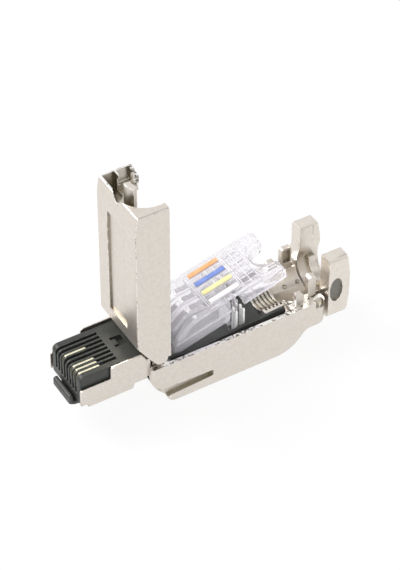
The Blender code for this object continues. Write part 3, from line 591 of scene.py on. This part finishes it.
# %% Mark the edges that have room
FLAT_ANGLE = math.radians(0.6)


def mark_edges(mesh, width, room, bend):
    """Gives full bevel weight to the convex edges that bend enough and have room."""
    bm = bmesh.new()
    bm.from_mesh(mesh)
    bmesh.ops.remove_doubles(bm, verts=bm.verts, dist=MERGE_DISTANCE)
    bmesh.ops.dissolve_limit(bm, angle_limit=FLAT_ANGLE, verts=bm.verts, edges=bm.edges)
    weight = bm.edges.layers.float.new("bevel_weight_edge")
    least = room * width
    roomy = {v for v in bm.verts if min(e.calc_length() for e in v.link_edges) > least}
    count = 0
    for edge in bm.edges:
        if not edge.is_manifold or edge.calc_face_angle_signed() < math.radians(bend):
            continue
        if all(vert in roomy for vert in edge.verts):
            edge[weight] = 1.0
            count += 1
    bm.to_mesh(mesh)
    bm.free()
    return count


# %% [markdown]
# The bevel's own faces take the second material, which is the finish of worn edges with its painted
# highlight. Weighted normals then keep the large faces flat, and let only the bevels curve.

# %% Rounded copies of the solids
ROUND_ANGLE = math.radians(38)
BEVEL_STEPS = 2
FACE_WEIGHT = 80
body_of = {
    member: body
    for body, members in frame["record"]["behaviour"]["bodies"].items()
    for member in members
}


def rounded_copy(name, width, edge_finish=None, room=2.2, pockets=(), bend=28):
    """Copies a solid, bevels its long convex edges and lets the copy stand for the solid."""
    node = nodes[name]
    bpy.ops.object.select_all(action="DESELECT")
    copy = node.copy()
    copy.data = node.data.copy()
    copy.parent = None
    copy.matrix_world = node.matrix_world.copy()
    copy.name = "rounded_" + name
    bpy.context.scene.collection.objects.link(copy)
    for pocket in pockets:
        carve(copy, *pocket)
    count = mark_edges(copy.data, width, room, bend)
    pick(copy)
    bevel = copy.modifiers.new("narrow edges", "BEVEL")
    bevel.limit_method = "WEIGHT"
    bevel.width = width
    bevel.segments = BEVEL_STEPS
    if edge_finish:
        copy.data.materials.append(edge_finish)
        bevel.material = 1
    bpy.ops.object.modifier_apply(modifier=bevel.name)
    bpy.ops.object.shade_smooth_by_angle(angle=ROUND_ANGLE)
    even = copy.modifiers.new("flat faces stay flat", "WEIGHTED_NORMAL")
    even.keep_sharp = True
    even.weight = FACE_WEIGHT
    bpy.ops.object.modifier_apply(modifier=even.name)
    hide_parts(name)
    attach(copy, body_of[name])
    copy.data.calc_loop_triangles()
    print(name, "edges rounded:", count, "triangles:", len(copy.data.loop_triangles))
    return copy


# %% [markdown]
# Seven large solids are rounded. The far corner of the cover's end has two torn pockets, the saddle
# that holds the cable has two dimples, and a fine parting line runs up the lock's far arm.

# %% Round the large solids
BALL_HALF = 0.45
cover_pockets = [
    ((-15.35, 2.3, 43.4), (-12.95, 6.3, 48)),
    ((-12.6, 2.3, 44.7), (-10.2, 6.3, 48)),
]
saddle_dimples = [
    ((x - BALL_HALF, 1.4, z - BALL_HALF), (x + BALL_HALF, 2.3, z + BALL_HALF), True)
    for x, z in ((19.9, 7.85), (22.7, 7.85))
]
arm_line = [((26.5, 3.0, 14.6), (26.64, 3.2, 20.0))]
housing = rounded_copy("base_housing", 0.00022, plated_edge, 2.0, saddle_dimples)
rounded_copy("nose_shield", 0.00015, plated_rim)
cover = rounded_copy("cover", 0.00016, plated_edge, 1.3, cover_pockets)
lock = rounded_copy("lock_lever", 0.00015, lock_edge, 1.3, arm_line, bend=18)
rounded_copy("contact_carrier", 0.0001, black_edge)
rounded_copy("latch_lever", 0.0001, black_edge)
rounded_copy("wire_manager", 0.00013, clear_edge)

# %% [markdown]
# Where the two castings meet, the top of the rim is rough: bright metal with dark pits. The far
# corner of the cover's end and its long far edge are the same. Those faces take the worn finish of
# the edges, whose bright tone is a painted highlight. Places are in world millimetres.

# %% Rough rims
POLISHED, ROUGH = 0, 1
RIM_LOW, RIM_HIGH, RIM_INSIDE = 9.8, 10.3, 4
TORN_INSIDE, TORN_LOW = 2.4, 46.5
FAR_EDGE, FAR_START, FAR_LOW = 5.4, -9.4, 41


def on_rim(at, way):
    return way.z > 0.9 and RIM_LOW < at.z < RIM_HIGH and abs(at.y) > RIM_INSIDE


def on_torn_end(at, way):
    return at.y > TORN_INSIDE and way.z > 0.5 and at.z > TORN_LOW


def on_far_edge(at, way):
    return at.y > FAR_EDGE and at.x > FAR_START and at.z > FAR_LOW


def roughen(piece, test):
    """Gives the rough finish to the polished faces whose place and direction pass the test."""
    count = 0
    for polygon in piece.data.polygons:
        if polygon.material_index == POLISHED and test(polygon.center * MM, polygon.normal):
            polygon.material_index = ROUGH
            count += 1
    print(piece.name, "rough faces:", count)


roughen(housing, on_rim)
roughen(cover, on_torn_end)
roughen(cover, on_far_edge)

# %% [markdown]
# ## Small bars
#
# Two details are plain bars: the fine ribs on the clear plate, and the tails of the nose's shield.
# Each starts as a cube at its size and place, its edges are bevelled in edit mode, and what repeats
# is copied.

# %% A bevelled bar and its copies
BAR_BEVEL = 0.00004


def apply_place():
    bpy.ops.object.transform_apply(location=True, rotation=True, scale=True)


def bar(name, low, high):
    """A box given by two corners in world millimetres, with its edges bevelled."""
    bpy.ops.object.select_all(action="DESELECT")
    middle = [(a + b) / 2 / MM for a, b in zip(low, high)]
    bpy.ops.mesh.primitive_cube_add(size=1, location=middle)
    made = bpy.context.object
    made.name = name
    made.scale = [(b - a) / MM for a, b in zip(low, high)]
    apply_place()
    bpy.ops.object.mode_set(mode="EDIT")
    bpy.ops.mesh.select_all(action="SELECT")
    bpy.ops.mesh.bevel(offset=BAR_BEVEL, segments=2, affect="EDGES")
    bpy.ops.object.mode_set(mode="OBJECT")
    bpy.ops.object.shade_smooth_by_angle(angle=ROUND_ANGLE)
    return made


def copied(piece, shift):
    """A copy of a piece with its own mesh, moved by a shift in world millimetres."""
    pick(piece)
    bpy.ops.object.duplicate()
    made = bpy.context.object
    made.location = [part / MM for part in shift]
    apply_place()
    return made


def turn_about(piece, pivot, degrees):
    """Turns a piece about a crosswise axis through the pivot, and applies the turn."""
    turn = Matrix.Rotation(math.radians(degrees), 4, "Y")
    piece.matrix_world = Matrix.Translation(pivot) @ turn @ Matrix.Translation(-pivot)
    apply_place()


# %% [markdown]
# Fine lines cross the clear plate on both sides of the colour bars, and two run along each prong.
# They are hair-thin raised ribs. They are laid out on the plate as it lies when it is pressed down,
# joined, and then lifted about the wire manager's hinge to where the plate stands.

# %% Fine ribs on the wire manager
LIFT, PRONG_SLOPE = -14.8, 5.9
HINGE = Vector((-0.009225, 0, 0.0093))
PRONG_START = Vector((0.013275, 0, 0.0154))
RIB_HALF, RIB_LOW, RIB_HIGH, RIB_REACH = 0.085, 15.33, 15.48, 4.9
PRONG_RIB = (13.3, 16.1)
CROSSWISE = (1.5, 1.9, 8.65, 9.05, 10.62, 12.25)
LENGTHWISE = (-4.5, -3.9, 3.9, 4.5)
x, y = CROSSWISE[0], LENGTHWISE[0]
cross_rib = bar(
    "cross_rib", (x - RIB_HALF, -RIB_REACH, RIB_LOW), (x + RIB_HALF, RIB_REACH, RIB_HIGH)
)
long_rib = bar(
    "long_rib", (PRONG_RIB[0], y - RIB_HALF, RIB_LOW), (PRONG_RIB[1], y + RIB_HALF, RIB_HIGH)
)
turn_about(long_rib, PRONG_START, PRONG_SLOPE)
ribs = [cross_rib, long_rib]
ribs += [copied(cross_rib, (other - x, 0, 0)) for other in CROSSWISE[1:]]
ribs += [copied(long_rib, (0, other - y, 0)) for other in LENGTHWISE[1:]]
manager_ribs = ribs[0]
pick(manager_ribs)
for rib in ribs:
    rib.select_set(True)
bpy.ops.object.join()
manager_ribs.name = "manager_ribs"
turn_about(manager_ribs, HINGE, LIFT)
manager_ribs.data.materials.append(clear_rib)
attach(manager_ribs, "manager_body")
print(manager_ribs.name, "made of", len(ribs), "ribs")

# %% [markdown]
# The nose's shield slides into the casting behind it. Two thin tails carry its walls on into the
# joint, so that no black shows between the two metals.

# %% Tails of the shield
TAIL_START, TAIL_END, TAIL_LOW, TAIL_HIGH = -13.9, -13.16, 8.1, 12.3
TAIL_INNER, TAIL_OUTER = 5.5, 5.68
near_tail = bar(
    "shield_tail_near", (TAIL_START, -TAIL_OUTER, TAIL_LOW), (TAIL_END, -TAIL_INNER, TAIL_HIGH)
)
far_tail = copied(near_tail, (0, TAIL_INNER + TAIL_OUTER, 0))
far_tail.name = "shield_tail_far"
for tail in (near_tail, far_tail):
    tail.data.materials.append(plated)
    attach(tail, "housing")
    print(tail.name, "is", round(tail.dimensions.x * MM, 2), "mm long")

# %% [markdown]
# ## Contacts
#
# The contacts show as broad pale bars on the nose's top, while their bent fronts lie in shade
# between the ribs. Each is copied nearly twice as wide, and its forward faces get a dark gold as
# painted shade.

# %% Contacts, bright on top and with painted shade in front
CONTACT_BEVEL, CONTACT_BEND, WIDER = 0.00003, 80, 1.9
for number in CONTACTS:
    copy = rounded_copy(f"contact_{number}", CONTACT_BEVEL, bend=CONTACT_BEND)
    middle = sum(vert.co.y for vert in copy.data.vertices) / len(copy.data.vertices)
    for vert in copy.data.vertices:
        vert.co.y = middle + (vert.co.y - middle) * WIDER
    # The forward faces get the dark gold as painted shade.
    copy.data.materials.append(gold_painted_shade)
    for polygon in copy.data.polygons:
        if polygon.normal.x < -0.3:
            polygon.material_index = 1

# %% [markdown]
# The lock's near arm has a round dish for the thumb. Its floor is darker and duller than the
# plating around it, so the faces at the dish's depth get a grey of their own.

# %% The grey dish in the lock's near arm
DISH_LEAST, DISH_MOST = 0.0002, 0.0005
DISH_LOW, DISH_HIGH = 0.007, 0.016
lock.data.materials.append(dish_grey)
grey = len(lock.data.materials) - 1
near = min(vert.co.y for vert in lock.data.vertices)
count = 0
for polygon in lock.data.polygons:
    deep = DISH_LEAST < polygon.center.y - near < DISH_MOST
    if deep and polygon.normal.y < -0.98 and DISH_LOW < polygon.center.z < DISH_HIGH:
        polygon.material_index = grey
        count += 1
print("dish faces:", count)
